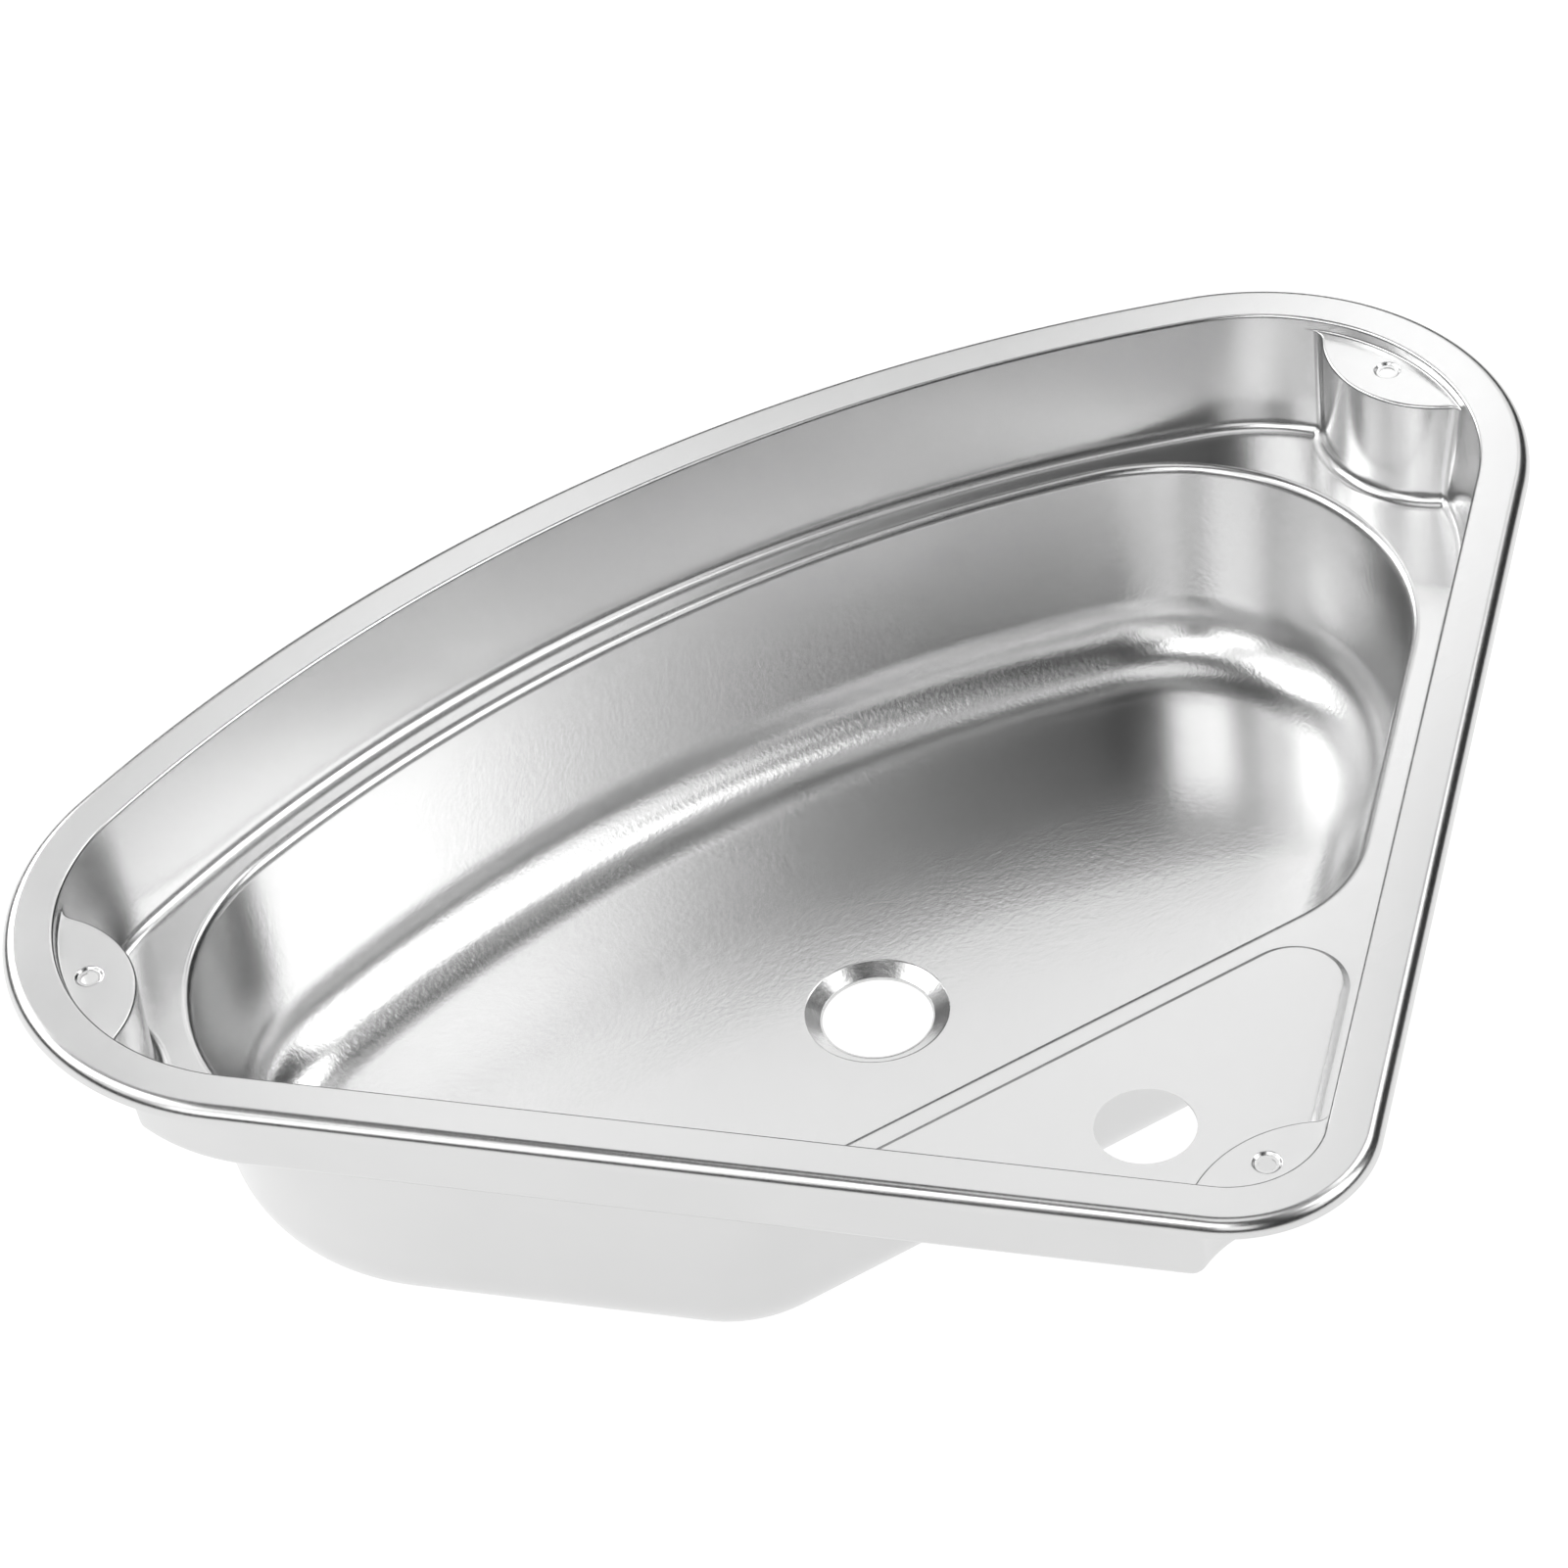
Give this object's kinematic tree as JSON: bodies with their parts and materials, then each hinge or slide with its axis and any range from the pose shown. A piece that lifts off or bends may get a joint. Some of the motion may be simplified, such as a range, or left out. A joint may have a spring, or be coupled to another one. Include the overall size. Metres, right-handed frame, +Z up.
{
  "type": "corner kitchen sink",
  "caption": "Bare inset corner sink in satin stainless steel: bowed back edge, recessed basin with corner screw pads, raised tap ledge and a deep bowl with a dished waste hole.",
  "frame": {"origin": "centre of the bounding box at its base: the underside of the waste dish's lip, midway between the two ends and midway between the front corner and the bowed edge", "axes": "+X to the right end along the chord between the two ends, +Y along the diagonal from the front corner to the bowed edge, +Z up"},
  "size_m": [0.6038, 0.4654, 0.1431],
  "materials": {
    "stainless": "satin stainless sheet",
    "seal_rubber": "closed-cell sealing strip"
  },
  "bodies": {
    "root": {"sink_pressing": "stainless", "rim_seal": "seal_rubber"}
  },
  "joints": []
}
